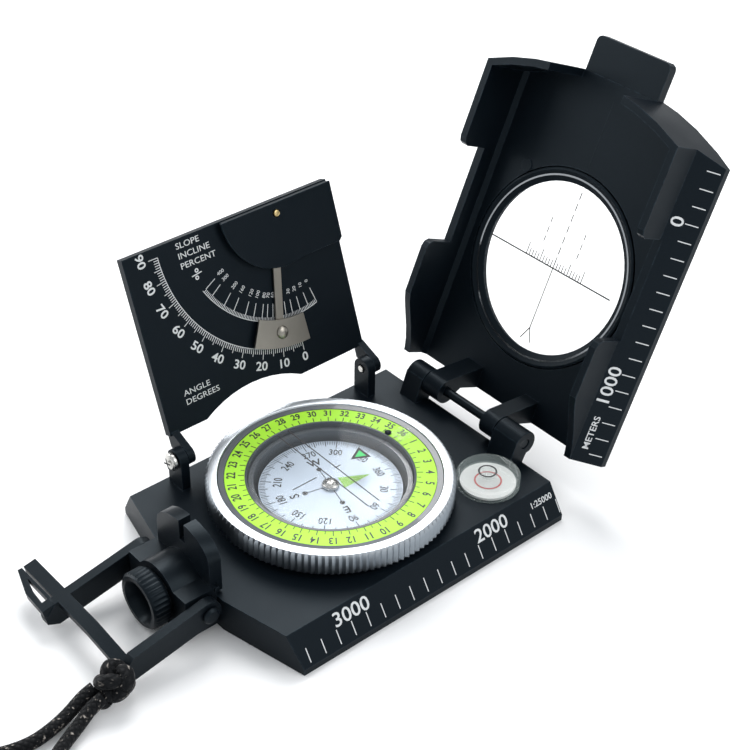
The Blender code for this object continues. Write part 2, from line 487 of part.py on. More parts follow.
def smooth(points, steps=3):
    """More points along a smooth curve through the given ones."""
    route = []
    padded = [points[0], *points, points[-1]]
    for a, b, c, d in zip(padded, padded[1:], padded[2:], padded[3:]):
        for i in range(steps):
            t = i / steps
            route.append([0.5 * (2 * q + (r - p) * t + (2 * p - 5 * q + 4 * r - s) * t * t
                                 + (3 * q - p - 3 * r + s) * t ** 3) for p, q, r, s in zip(a, b, c, d)])
    return route + [list(points[-1])]


def lanyard():
    bm = bmesh.new()
    bmesh.ops.create_uvsphere(bm, u_segments=20, v_segments=12, radius=0.001)
    bmesh.ops.scale(bm, verts=bm.verts, vec=(4.6, 4.0, 3.9))
    bmesh.ops.translate(bm, verts=bm.verts, vec=mm(KNOT[0], KNOT[1], KNOT[2]))
    add("lanyard_knot", mesh_of(bm), NYLON, PART)
    add("lanyard_strand_left", cord_mesh(smooth(STRAND_LEFT)), NYLON, PART)
    add("lanyard_strand_right", cord_mesh(smooth(STRAND_RIGHT)), NYLON, PART)
    inner, outer, low, high = COIL_IN - CORD / 2, COIL_R + CORD / 2, 0.15, 2 * CORD
    hank = [(inner, low + 0.8), (inner + 0.8, low), (outer - 0.8, low), (outer, low + 0.8), (outer, high - 0.8),
            (outer - 0.8, high), (inner + 0.8, high), (inner, high - 0.8)]
    add("lanyard_hank", lathe(hank, 40, (*COIL, 0)), NYLON, PART)


clear_scene()
PART = collection("sighting_compass")
CUTTERS = collection("cutters", hidden=True)
base()
capsule()
card()
bezel()
level()
lid()
clinometer()
eyepiece()
thumb_loop()
lanyard()
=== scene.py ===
"""Sighting compass: finishes, scales, knurling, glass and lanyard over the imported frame."""

from math import cos, pi, radians, sin

import bmesh
import bpy
from mathutils import Matrix, Vector


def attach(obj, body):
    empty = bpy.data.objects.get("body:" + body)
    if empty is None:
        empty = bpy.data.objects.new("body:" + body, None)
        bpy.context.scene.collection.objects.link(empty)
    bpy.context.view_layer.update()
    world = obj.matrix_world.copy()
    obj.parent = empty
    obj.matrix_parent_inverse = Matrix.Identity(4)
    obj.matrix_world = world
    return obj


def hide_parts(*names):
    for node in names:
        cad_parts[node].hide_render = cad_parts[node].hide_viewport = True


bl_info = {
    "name": "Sighting Compass",
    "version": (1, 0, 0),
    "blender": (4, 5, 0),
    "location": "3D View > Sidebar > Compass",
    "description": "Dresses the packed frame of a folding sighting compass",
    "category": "Object",
}

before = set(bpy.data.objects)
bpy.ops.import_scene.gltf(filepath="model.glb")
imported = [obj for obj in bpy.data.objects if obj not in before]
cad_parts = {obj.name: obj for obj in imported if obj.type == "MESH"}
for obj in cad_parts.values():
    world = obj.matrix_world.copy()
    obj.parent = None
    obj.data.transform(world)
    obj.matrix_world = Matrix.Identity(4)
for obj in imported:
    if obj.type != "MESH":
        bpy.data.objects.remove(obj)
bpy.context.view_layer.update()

# Places and lengths are in millimetres and angles in degrees, and SCALE takes a shape to metres
MM = 0.001
SCALE = Matrix.Scale(MM, 4)

LID_AXIS = (41.8, 12.8)       # y and z of the lid's hinge
LID_ANGLE = 66.4              # the open lid's slope above level
WINDOW = 35.6                 # the window's centre, along the lid from its hinge
LEAF_AXIS = (-24.4, 15.6)     # x and z of the clinometer leaf's hinge
LEAF_TILT = 20.0              # how far the leaf leans out from upright
LEAF_FACE = -2.6              # the leaf's printed face, out from the plane through its hinge
PENDULUM = (17.2, 43.2)       # the pendulum's pivot on the leaf, along it and up it
LEVEL = (19.4, 29.6)          # x and y of the bubble level
RING_TOP = 14.36              # z of the green ring's face
CARD_TOP = 10.92              # z of the floating card's face
CRYSTAL_TOP = 15.42           # z of the crystal's face
CARD_TURN = -15.0             # the card's heading at rest
PRINT = 0.03                  # thickness of printed marks


# ---------------------------------------------------------------- sizes and colours

class CompassSizes(bpy.types.PropertyGroup):
    tick_step: bpy.props.FloatProperty(
        name="Ruler step", description="Distance between two marks of a ruler", default=0.004, unit="LENGTH")
    knurl_teeth: bpy.props.IntProperty(
        name="Knurl teeth", description="Number of teeth round the bezel", default=120, min=24, max=240)
    focus_ribs: bpy.props.IntProperty(
        name="Focus ribs", description="Number of ribs round the focus ring", default=40, min=12, max=80)
    cord_thickness: bpy.props.FloatProperty(
        name="Cord thickness", description="Diameter of the lanyard cord", default=0.0028, unit="LENGTH")
    edge_radius: bpy.props.FloatProperty(
        name="Edge radius", description="Rounding of the painted castings", default=0.00035, unit="LENGTH")


class CompassColours(bpy.types.PropertyGroup):
    paint: bpy.props.FloatVectorProperty(
        name="Paint", description="Satin paint of the castings", subtype="COLOR", size=3,
        default=(0.0030, 0.0052, 0.0080))
    worn: bpy.props.FloatVectorProperty(
        name="Worn paint", description="Paint where hands have rubbed it", subtype="COLOR", size=3,
        default=(0.035, 0.055, 0.072))
    ink: bpy.props.FloatVectorProperty(
        name="White ink", description="Printed scales on the paint", subtype="COLOR", size=3,
        default=(0.72, 0.74, 0.75))
    green: bpy.props.FloatVectorProperty(
        name="Dial green", description="The graduated ring", subtype="COLOR", size=3,
        default=(0.42, 0.86, 0.035))
    card: bpy.props.FloatVectorProperty(
        name="Card", description="Floating card", subtype="COLOR", size=3, default=(0.56, 0.65, 0.76))
    cord: bpy.props.FloatVectorProperty(
        name="Cord", description="Braided lanyard", subtype="COLOR", size=3, default=(0.0028, 0.0034, 0.0045))


def sizes():
    return bpy.context.scene.compass_sizes


def colours():
    return bpy.context.scene.compass_colours


# ---------------------------------------------------------------- shared effects

def group(name, inputs, outputs):
    """An empty shader group of plain values: its inputs with their defaults, and the names of its outputs."""
    made = bpy.data.node_groups.new(name, "ShaderNodeTree")
    for label, default in inputs.items():
        socket = made.interface.new_socket(name=label, in_out="INPUT", socket_type="NodeSocketFloat")
        socket.default_value = default
    for label in outputs:
        made.interface.new_socket(name=label, in_out="OUTPUT", socket_type="NodeSocketFloat")
    made.nodes.new("NodeGroupInput").name = "in"
    made.nodes.new("NodeGroupOutput").name = "out"
    return made


def edge_wear_group():
    """A mask that is 1 on rubbed edges: the rounded normal leaves the true one there."""
    made = group("edge_wear", {"Radius": 0.0006, "Breakup": 900.0, "Amount": 1.0}, ["Mask"])
    nodes, links = made.nodes, made.links
    bevel = nodes.new("ShaderNodeBevel")
    bevel.samples = 4
    geometry = nodes.new("ShaderNodeNewGeometry")
    dot = nodes.new("ShaderNodeVectorMath")
    dot.operation = "DOT_PRODUCT"
    spread = nodes.new("ShaderNodeMapRange")
    spread.inputs["From Min"].default_value, spread.inputs["From Max"].default_value = 0.995, 0.86
    place = nodes.new("ShaderNodeTexCoord")
    noise = nodes.new("ShaderNodeTexNoise")
    noise.inputs["Detail"].default_value = 4.0
    lift = nodes.new("ShaderNodeMapRange")
    lift.inputs["From Min"].default_value, lift.inputs["From Max"].default_value = 0.35, 0.65
    times, scaled = nodes.new("ShaderNodeMath"), nodes.new("ShaderNodeMath")
    times.operation = scaled.operation = "MULTIPLY"
    links.new(nodes["in"].outputs["Radius"], bevel.inputs["Radius"])
    links.new(bevel.outputs["Normal"], dot.inputs[0])
    links.new(geometry.outputs["Normal"], dot.inputs[1])
    links.new(dot.outputs["Value"], spread.inputs["Value"])
    links.new(place.outputs["Object"], noise.inputs["Vector"])
    links.new(nodes["in"].outputs["Breakup"], noise.inputs["Scale"])
    links.new(noise.outputs["Fac"], lift.inputs["Value"])
    links.new(spread.outputs["Result"], times.inputs[0])
    links.new(lift.outputs["Result"], times.inputs[1])
    links.new(times.outputs["Value"], scaled.inputs[0])
    links.new(nodes["in"].outputs["Amount"], scaled.inputs[1])
    links.new(scaled.outputs["Value"], nodes["out"].inputs["Mask"])
    return made


def grain_group():
    """Fine sprayed grain, and a slow cloudy change for roughness."""
    made = group("sprayed_grain", {"Grain Scale": 4000.0, "Cloud Scale": 90.0}, ["Grain", "Cloud"])
    nodes, links = made.nodes, made.links
    place = nodes.new("ShaderNodeTexCoord")
    for label, source, detail in (("Grain", "Grain Scale", 2.0), ("Cloud", "Cloud Scale", 3.0)):
        noise = nodes.new("ShaderNodeTexNoise")
        noise.inputs["Detail"].default_value = detail
        links.new(place.outputs["Object"], noise.inputs["Vector"])
        links.new(nodes["in"].outputs[source], noise.inputs["Scale"])
        links.new(noise.outputs["Fac"], nodes["out"].inputs[label])
    return made


def turned_group():
    """Fine rings round the Z axis, as a lathe tool leaves."""
    made = group("turned_rings", {"Rings": 9000.0}, ["Height"])
    nodes, links = made.nodes, made.links
    place = nodes.new("ShaderNodeTexCoord")
    split = nodes.new("ShaderNodeSeparateXYZ")
    flat = nodes.new("ShaderNodeCombineXYZ")
    length = nodes.new("ShaderNodeVectorMath")
    length.operation = "LENGTH"
    noise = nodes.new("ShaderNodeTexNoise")
    noise.noise_dimensions = "1D"
    noise.inputs["Detail"].default_value = 3.0
    links.new(place.outputs["Object"], split.inputs["Vector"])
    links.new(split.outputs["X"], flat.inputs["X"])
    links.new(split.outputs["Y"], flat.inputs["Y"])
    links.new(flat.outputs["Vector"], length.inputs[0])
    links.new(length.outputs["Value"], noise.inputs["W"])
    links.new(nodes["in"].outputs["Rings"], noise.inputs["Scale"])
    links.new(noise.outputs["Fac"], nodes["out"].inputs["Height"])
    return made


def braid_group():
    """Crossed diagonal strands on a cord's own UV map, with a few light yarns."""
    made = group("braid", {"Along": 1.0, "Around": 4.0}, ["Height", "Fleck"])
    nodes, links = made.nodes, made.links
    uv = nodes.new("ShaderNodeUVMap")
    split = nodes.new("ShaderNodeSeparateXYZ")
    links.new(uv.outputs["UV"], split.inputs["Vector"])
    along, around = nodes.new("ShaderNodeMath"), nodes.new("ShaderNodeMath")
    for node, axis, socket in ((along, "X", "Along"), (around, "Y", "Around")):
        node.operation = "MULTIPLY"
        links.new(split.outputs[axis], node.inputs[0])
        links.new(nodes["in"].outputs[socket], node.inputs[1])
    waves = []
    for operation in ("ADD", "SUBTRACT"):
        mixed, wave, size = (nodes.new("ShaderNodeMath") for _ in range(3))
        mixed.operation, wave.operation, size.operation = operation, "SINE", "ABSOLUTE"
        links.new(along.outputs["Value"], mixed.inputs[0])
        links.new(around.outputs["Value"], mixed.inputs[1])
        turn = nodes.new("ShaderNodeMath")
        turn.operation = "MULTIPLY"
        turn.inputs[1].default_value = pi
        links.new(mixed.outputs["Value"], turn.inputs[0])
        links.new(turn.outputs["Value"], wave.inputs[0])
        links.new(wave.outputs["Value"], size.inputs[0])
        waves.append(size)
    height = nodes.new("ShaderNodeMath")
    height.operation = "MULTIPLY"
    links.new(waves[0].outputs["Value"], height.inputs[0])
    links.new(waves[1].outputs["Value"], height.inputs[1])
    links.new(height.outputs["Value"], nodes["out"].inputs["Height"])
    noise = nodes.new("ShaderNodeTexNoise")
    noise.inputs["Scale"].default_value = 1.3
    spot = nodes.new("ShaderNodeCombineXYZ")
    links.new(along.outputs["Value"], spot.inputs["X"])
    links.new(around.outputs["Value"], spot.inputs["Y"])
    links.new(spot.outputs["Vector"], noise.inputs["Vector"])
    pick = nodes.new("ShaderNodeMapRange")
    pick.inputs["From Min"].default_value, pick.inputs["From Max"].default_value = 0.6, 0.68
    links.new(noise.outputs["Fac"], pick.inputs["Value"])
    fleck = nodes.new("ShaderNodeMath")
    fleck.operation = "MULTIPLY"
    links.new(pick.outputs["Result"], fleck.inputs[0])
    links.new(height.outputs["Value"], fleck.inputs[1])
    links.new(fleck.outputs["Value"], nodes["out"].inputs["Fleck"])
    return made


def placed(tree, name, **values):
    """A shared group set into a material with its own values."""
    makers = {"edge_wear": edge_wear_group, "sprayed_grain": grain_group, "turned_rings": turned_group,
              "braid": braid_group}
    node = tree.nodes.new("ShaderNodeGroup")
    node.node_tree = bpy.data.node_groups.get(name) or makers[name]()
    for label, value in values.items():
        node.inputs[label.replace("_", " ")].default_value = value
    return node


# ---------------------------------------------------------------- finishes

def finish(name, **values):
    """A material whose Principled BSDF has these values. Returns (material, tree, shader)."""
    made = bpy.data.materials.new(name)
    made.use_nodes = True
    tree = made.node_tree
    shader = tree.nodes["Principled BSDF"]
    for label, value in values.items():
        shader.inputs[label.replace("_", " ")].default_value = value
    return made, tree, shader


def mixed_colour(tree, mask, low, high, socket):
    """Runs from one colour to another as the mask goes from 0 to 1."""
    mix = tree.nodes.new("ShaderNodeMix")
    mix.data_type = "RGBA"
    mix.inputs["A"].default_value = (*low, 1.0)
    mix.inputs["B"].default_value = (*high, 1.0)
    tree.links.new(mask, mix.inputs["Factor"])
    tree.links.new(mix.outputs["Result"], socket)


def ranged(tree, source, low, high, socket):
    """Runs a value from low to high as the source goes from 0 to 1."""
    node = tree.nodes.new("ShaderNodeMapRange")
    node.inputs["To Min"].default_value, node.inputs["To Max"].default_value = low, high
    tree.links.new(source, node.inputs["Value"])
    tree.links.new(node.outputs["Result"], socket)


def bumped(tree, height, shader, strength, distance):
    """Gives the shader a fine relief."""
    bump = tree.nodes.new("ShaderNodeBump")
    bump.inputs["Strength"].default_value, bump.inputs["Distance"].default_value = strength, distance
    tree.links.new(height, bump.inputs["Height"])
    tree.links.new(bump.outputs["Normal"], shader.inputs["Normal"])


COOL_TINT = (0.7, 0.88, 1.0, 1.0)


def satin_paint():
    made, tree, shader = finish("satin_black_paint", Specular_IOR_Level=0.13, Specular_Tint=COOL_TINT)
    wear = placed(tree, "edge_wear", Radius=0.0005, Breakup=700.0, Amount=0.5)
    grain = placed(tree, "sprayed_grain", Grain_Scale=5200.0, Cloud_Scale=70.0)
    mixed_colour(tree, wear.outputs["Mask"], colours().paint, colours().worn, shader.inputs["Base Color"])
    ranged(tree, grain.outputs["Cloud"], 0.34, 0.50, shader.inputs["Roughness"])
    bumped(tree, grain.outputs["Grain"], shader, 0.22, 0.00005)
    return made


def moulded_black():
    made, tree, shader = finish("moulded_black", Specular_IOR_Level=0.17, Specular_Tint=COOL_TINT)
    wear = placed(tree, "edge_wear", Radius=0.0004, Breakup=1200.0, Amount=0.35)
    grain = placed(tree, "sprayed_grain", Grain_Scale=3600.0, Cloud_Scale=120.0)
    base, rubbed = (0.0030, 0.0048, 0.0070), (0.03, 0.042, 0.055)
    mixed_colour(tree, wear.outputs["Mask"], base, rubbed, shader.inputs["Base Color"])
    ranged(tree, grain.outputs["Cloud"], 0.30, 0.46, shader.inputs["Roughness"])
    bumped(tree, grain.outputs["Grain"], shader, 0.3, 0.00005)
    return made


def white_ink():
    made, tree, shader = finish("white_ink", Roughness=0.55)
    grain = placed(tree, "sprayed_grain", Grain_Scale=2500.0, Cloud_Scale=900.0)
    low = [0.72 * c for c in colours().ink]
    mixed_colour(tree, grain.outputs["Cloud"], low, colours().ink, shader.inputs["Base Color"])
    return made


def black_ink():
    made, tree, shader = finish("black_ink", Roughness=0.5)
    grain = placed(tree, "sprayed_grain", Grain_Scale=2500.0, Cloud_Scale=900.0)
    dark, pale = (0.008, 0.008, 0.009), (0.03, 0.03, 0.032)
    mixed_colour(tree, grain.outputs["Cloud"], dark, pale, shader.inputs["Base Color"])
    return made


def knurled_aluminium():
    """Turned aluminium with painted shade: its colour is bright on top, and duller and darker down the
    knurled side, set by the way each face points.
    """
    made, tree, shader = finish("knurled_aluminium", Metallic=1.0, Anisotropic=0.35)
    facing = tree.nodes.new("ShaderNodeTexCoord")
    split = tree.nodes.new("ShaderNodeSeparateXYZ")
    tree.links.new(facing.outputs["Normal"], split.inputs["Vector"])
    grain = placed(tree, "sprayed_grain", Grain_Scale=3000.0, Cloud_Scale=160.0)
    # Painted light and shade: faces that point up get a bright base colour and the knurled sides a dark one,
    # standing in for how light falls on them.
    painted_shade_by_facing = tree.nodes.new("ShaderNodeMapRange")
    painted_shade_by_facing.inputs["From Min"].default_value, painted_shade_by_facing.inputs["From Max"].default_value = 0.15, 0.8
    tree.links.new(split.outputs["Z"], painted_shade_by_facing.inputs["Value"])
    side, top = (0.24, 0.27, 0.3), (0.76, 0.8, 0.84)
    mixed_colour(tree, painted_shade_by_facing.outputs["Result"], side, top, shader.inputs["Base Color"])
    ranged(tree, grain.outputs["Cloud"], 0.34, 0.42, shader.inputs["Roughness"])
    rings = placed(tree, "turned_rings", Rings=7000.0)
    bumped(tree, rings.outputs["Height"], shader, 0.05, 0.00002)
    return made


def plated_steel(name="plated_steel", colour=(0.62, 0.61, 0.58), rough=(0.2, 0.36)):
    made, tree, shader = finish(name, Metallic=1.0)
    grain = placed(tree, "sprayed_grain", Grain_Scale=2600.0, Cloud_Scale=240.0)
    low = [0.8 * c for c in colour]
    mixed_colour(tree, grain.outputs["Cloud"], low, colour, shader.inputs["Base Color"])
    ranged(tree, grain.outputs["Grain"], *rough, shader.inputs["Roughness"])
    return made


def dial_green():
    made, tree, shader = finish("dial_green", Specular_IOR_Level=0.4)
    grain = placed(tree, "sprayed_grain", Grain_Scale=1800.0, Cloud_Scale=140.0)
    low = [0.9 * c for c in colours().green]
    mixed_colour(tree, grain.outputs["Cloud"], low, colours().green, shader.inputs["Base Color"])
    ranged(tree, grain.outputs["Cloud"], 0.42, 0.58, shader.inputs["Roughness"])
    return made


def silvered_card():
    made, tree, shader = finish("silvered_card", Metallic=0.15)
    grain = placed(tree, "sprayed_grain", Grain_Scale=3200.0, Cloud_Scale=60.0)
    low = [0.92 * c for c in colours().card]
    mixed_colour(tree, grain.outputs["Cloud"], low, colours().card, shader.inputs["Base Color"])
    ranged(tree, grain.outputs["Grain"], 0.38, 0.52, shader.inputs["Roughness"])
    bumped(tree, grain.outputs["Grain"], shader, 0.08, 0.00003)
    return made


def capsule_grey():
    made, tree, shader = finish("capsule_grey", Coat_Weight=0.4)
    grain = placed(tree, "sprayed_grain", Grain_Scale=2400.0, Cloud_Scale=80.0)
    dark, pale = (0.035, 0.042, 0.05), (0.085, 0.1, 0.115)
    mixed_colour(tree, grain.outputs["Cloud"], dark, pale, shader.inputs["Base Color"])
    ranged(tree, grain.outputs["Grain"], 0.3, 0.45, shader.inputs["Roughness"])
    return made


def clear_glass(name, facing=0.02, edge=0.22, tint=(0.45, 0.48, 0.5)):
    """Thin clear acrylic: nearly unseen face on, and glossy at a glance."""
    made, tree, shader = finish(name, Roughness=0.04, Specular_IOR_Level=0.8)
    shader.inputs["Base Color"].default_value = (*tint, 1.0)
    weight = tree.nodes.new("ShaderNodeLayerWeight")
    weight.inputs["Blend"].default_value = 0.35
    ranged(tree, weight.outputs["Facing"], facing, edge, shader.inputs["Alpha"])
    grain = placed(tree, "sprayed_grain", Grain_Scale=600.0, Cloud_Scale=50.0)
    bumped(tree, grain.outputs["Cloud"], shader, 0.02, 0.00005)
    return made


def plain_pigment(name, colour, rough=(0.4, 0.55)):
    made, tree, shader = finish(name)
    grain = placed(tree, "sprayed_grain", Grain_Scale=2600.0, Cloud_Scale=300.0)
    low = [0.85 * c for c in colour]
    mixed_colour(tree, grain.outputs["Cloud"], low, colour, shader.inputs["Base Color"])
    ranged(tree, grain.outputs["Grain"], *rough, shader.inputs["Roughness"])
    return made


def braided_nylon():
    made, tree, shader = finish("braided_nylon", Sheen_Weight=0.06, Sheen_Roughness=0.4,
                                Specular_IOR_Level=0.15)
    braid = placed(tree, "braid", Along=1.8, Around=6.0)
    light_yarn = (0.42, 0.38, 0.34)
    mixed_colour(tree, braid.outputs["Fleck"], colours().cord, light_yarn, shader.inputs["Base Color"])
    ranged(tree, braid.outputs["Height"], 0.8, 0.5, shader.inputs["Roughness"])
    bumped(tree, braid.outputs["Height"], shader, 0.8, 0.0002)
    return made


MAKERS = {
    "paint": satin_paint,
    "moulded": moulded_black,
    "white_ink": white_ink,
    "black_ink": black_ink,
    "knurled": knurled_aluminium,
    "steel": plated_steel,
    "green": dial_green,
    "card": silvered_card,
    "grey": capsule_grey,
    "nylon": braided_nylon,
    "nickel": lambda: plated_steel("brown_nickel", (0.34, 0.32, 0.28), (0.25, 0.4)),
    "brass": lambda: plated_steel("pivot_brass", (0.72, 0.55, 0.26), (0.2, 0.35)),
    # The window's chrome is a painted highlight: it stands in for the glint along the black window ring.
    "chrome": lambda: plated_steel("window_painted_glint_chrome", (0.5, 0.52, 0.54), (0.08, 0.16)),
    "glass": lambda: clear_glass("clear_acrylic", 0.01, 0.16),
    "window": lambda: clear_glass("window_glass", 0.01, 0.12),
    "vial": lambda: clear_glass("level_acrylic", 0.03, 0.42, (0.5, 0.58, 0.56)),
    "lens": lambda: plain_pigment("dark_lens", (0.01, 0.011, 0.014), (0.05, 0.08)),
    "white": lambda: plain_pigment("level_white", (0.8, 0.8, 0.78)),
    "red": lambda: plain_pigment("level_red", (0.6, 0.03, 0.03)),
    "arrow": lambda: plain_pigment("arrow_green", (0.28, 0.6, 0.06)),
    "mark": lambda: plain_pigment("mark_green", (0.03, 0.62, 0.14)),
}
FINISHES = {}


def look(name):
    """One of the finishes, made the first time that it is asked for."""
    if name not in FINISHES:
        FINISHES[name] = MAKERS[name]()
    return FINISHES[name]


# ---------------------------------------------------------------- making pieces

def piece(name, bm, finish_name, body, smooth=True, replaces=()):
    """Turns a bmesh into a piece that rides on a body."""
    mesh = bpy.data.meshes.new(name)
    bm.to_mesh(mesh)
    bm.free()
    made = bpy.data.objects.new(name, mesh)
    bpy.context.scene.collection.objects.link(made)
    mesh.materials.append(look(finish_name))
    if smooth:
        mesh.shade_smooth()
        mesh.set_sharp_from_angle(angle=radians(35))
    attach(made, body)
    if replaces:
        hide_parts(*replaces)
    return made


def plate(bm, place, x0, x1, y0, y1, thick=PRINT):
    """A thin bar on the plane that place stands for."""
    middle = Matrix.Translation(Vector(((x0 + x1) / 2, (y0 + y1) / 2, thick / 2)))
    size = Matrix.Diagonal((x1 - x0, y1 - y0, thick, 1))
    bmesh.ops.create_cube(bm, size=1.0, matrix=SCALE @ place @ middle @ size)


def turned(profile, steps, place=Matrix.Identity(4)):
    """Spins a closed outline of (radius, height) about the Z axis of place."""
    bm = bmesh.new()
    points = [bm.verts.new((r, 0.0, z)) for r, z in profile]
    sides = [(a, b) for a, b in zip(points, points[1:] + points[:1]) if a.co.x > 0 or b.co.x > 0]
    edges = [bm.edges.new(side) for side in sides]
    bmesh.ops.spin(bm, geom=points + edges, cent=(0, 0, 0), axis=(0, 0, 1), angle=2 * pi, steps=steps,
                   use_merge=True)
    bmesh.ops.remove_doubles(bm, verts=bm.verts[:], dist=1e-5)
    bmesh.ops.recalc_face_normals(bm, faces=bm.faces)
    bmesh.ops.transform(bm, matrix=SCALE @ place, verts=bm.verts)
    return bm


def join(bm, other):
    """Moves another bmesh's faces into bm."""
    mesh = bpy.data.meshes.new("joined")
    other.to_mesh(mesh)
    other.free()
    bm.from_mesh(mesh)
    bpy.data.meshes.remove(mesh)


def ring_edges(bm, ring):
    """The edges of a closed ring of points, in order."""
    return [bm.edges.get((a, b)) for a, b in zip(ring, ring[1:] + ring[:1])]


def grown(bm, ring):
    """Extrudes a closed ring of points once, and returns the new ring in the same order."""
    made = bmesh.ops.extrude_edge_only(bm, edges=ring_edges(bm, ring))["geom"]
    fresh = {v for v in made if isinstance(v, bmesh.types.BMVert)}
    return [next(e.other_vert(v) for e in v.link_edges if e.other_vert(v) in fresh) for v in ring]


def ring_of_loops(loops, teeth):
    """A toothed ring grown loop by loop. Each loop is (radius, height, tooth depth)."""
    bm = bmesh.new()
    segments = teeth * 2
    current = list(bmesh.ops.create_circle(bm, segments=segments, radius=1.0)["verts"])

    def shape(ring, radius, height, tooth):
        for i, v in enumerate(ring):
            angle = 2 * pi * i / segments
            r = radius - (tooth if i % 2 else 0.0)
            v.co = (r * cos(angle), r * sin(angle), height)

    shape(current, *loops[0])
    first = current
    for loop in loops[1:]:
        current = grown(bm, current)
        shape(current, *loop)
    bmesh.ops.bridge_loops(bm, edges=ring_edges(bm, first) + ring_edges(bm, current))
    bmesh.ops.recalc_face_normals(bm, faces=bm.faces)
    bmesh.ops.scale(bm, vec=(MM, MM, MM), verts=bm.verts)
    return bm


def swept(path, radius, sides=14):
    """A round cord along a path in metres, grown ring by ring, with a UV map for the braid."""
    bm = bmesh.new()
    uv = bm.loops.layers.uv.new("UVMap")
    ring = list(bmesh.ops.create_circle(bm, segments=sides, radius=radius, cap_ends=False)["verts"])
    first, offsets, done = list(ring), [v.co.copy() for v in ring], 0.0
    for i, point in enumerate(path):
        ahead = (path[min(i + 1, len(path) - 1)] - path[max(i - 1, 0)]).normalized()
        side = ahead.cross(Vector((0, 0, 1))).normalized()
        lift = side.cross(ahead).normalized()
        if i:
            follow = grown(bm, ring)
            step = (point - path[i - 1]).length
            for face in {f for v in follow for f in v.link_faces}:
                wraps = any(loop.vert in (follow[-1], ring[-1]) for loop in face.loops)
                for loop in face.loops:
                    index = follow.index(loop.vert) if loop.vert in follow else ring.index(loop.vert)
                    away = done + (step if loop.vert in follow else 0.0)
                    loop[uv].uv = (away / (radius * 1.9), 1.0 if wraps and index == 0 else index / sides)
            ring, done = follow, done + step
        for v, offset in zip(ring, offsets):
            v.co = point + side * offset.x + lift * offset.y
    for end in (ring, first):
        bmesh.ops.contextual_create(bm, geom=end)
    bmesh.ops.recalc_face_normals(bm, faces=bm.faces)
    return bm


def words(bm, text, size, place, x=0.0, y=0.0, turn=0.0, align="CENTER", bold=0.0, squeeze=1.0):
    """Sets a line of type into bm, at (x, y) on the plane that place stands for."""
    curve = bpy.data.curves.new("type", "FONT")
    curve.body, curve.size = text, size
    curve.align_x, curve.align_y = align, "CENTER"
    curve.resolution_u, curve.extrude, curve.offset = 3, PRINT / 2, bold
    holder = bpy.data.objects.new("type", curve)
    bpy.context.scene.collection.objects.link(holder)
    bpy.context.view_layer.update()
    mesh = bpy.data.meshes.new_from_object(holder.evaluated_get(bpy.context.evaluated_depsgraph_get()))
    bpy.data.objects.remove(holder, do_unlink=True)
    bpy.data.curves.remove(curve)
    at = (Matrix.Translation((x, y, PRINT / 2)) @ Matrix.Rotation(radians(turn), 4, "Z")
          @ Matrix.Diagonal((squeeze, 1.0, 1.0, 1.0)))
    mesh.transform(SCALE @ place @ at)
    bm.from_mesh(mesh)
    bpy.data.meshes.remove(mesh)


def face_plane(foot, along, up, lift):
    """A printed face: x runs along it, y up it from foot and z out of it, lift millimetres off foot."""
    out = along.cross(up)
    return Matrix.Translation(foot + out * lift) @ Matrix((along, up, out)).transposed().to_4x4()


def slope_plane(carrier, top, foot):
    """A ruler's slanted side, from the x and z of its top and foot."""
    low, high = Vector((foot[0], 0.0, foot[1])), Vector((top[0], 0.0, top[1]))
    return carrier @ face_plane(low, Vector((0.0, 1.0, 0.0)), (high - low).normalized(), 0.01)


def on_lid(y=0.0, z=0.0):
    """A plane of the open lid: x across it, y along it from the hinge, z out of its inside face."""
    hinge = Matrix.Translation((0.0, *LID_AXIS)) @ Matrix.Rotation(radians(LID_ANGLE), 4, "X")
    return hinge @ Matrix.Translation((0.0, y, z))


def on_leaf():
    """The leaf's printed face, with x along +Y and y up the leaf from its hinge."""
    tilt = radians(LEAF_TILT)
    axis = Vector((LEAF_AXIS[0], 0.0, LEAF_AXIS[1]))
    return face_plane(axis, Vector((0.0, 1.0, 0.0)), Vector((-sin(tilt), 0.0, cos(tilt))), LEAF_FACE)


def around(angle, radius, z):
    """A place on a dial: angle clockwise from +Y, with y pointing outwards."""
    return Matrix.Rotation(radians(-angle), 4, "Z") @ Matrix.Translation((0, radius, z))


def triangle(bm, place, points):
    """A printed triangle on the plane that place stands for."""
    verts = [bm.verts.new(SCALE @ place @ Vector((x, y, 0.0))) for x, y in points]
    face = bm.faces.new(verts)
    raised = bmesh.ops.extrude_face_region(bm, geom=[face])["geom"]
    up = place.to_3x3() @ Vector((0, 0, PRINT * MM))
    bmesh.ops.translate(bm, vec=up, verts=[v for v in raised if isinstance(v, bmesh.types.BMVert)])


def soften(node, width):
    """Rounds a frame node's edges with modifiers, which leave its own mesh alone."""
    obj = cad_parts[node]
    obj.data.shade_smooth()
    weld = obj.modifiers.new("weld", "WELD")
    weld.merge_threshold = 2e-6
    bevel = obj.modifiers.new("edges", "BEVEL")
    bevel.width, bevel.segments = width, 2
    bevel.limit_method, bevel.angle_limit = "ANGLE", radians(32)
    bevel.use_clamp_overlap = True
    even = obj.modifiers.new("even_normals", "WEIGHTED_NORMAL")
    even.mode, even.weight, even.keep_sharp = "FACE_AREA", 100, True


def dress(node, finish_name):
    """Gives a frame node one of the finishes."""
    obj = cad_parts[node]
    obj.data.materials.clear()
    obj.data.materials.append(look(finish_name))


# ---------------------------------------------------------------- operators

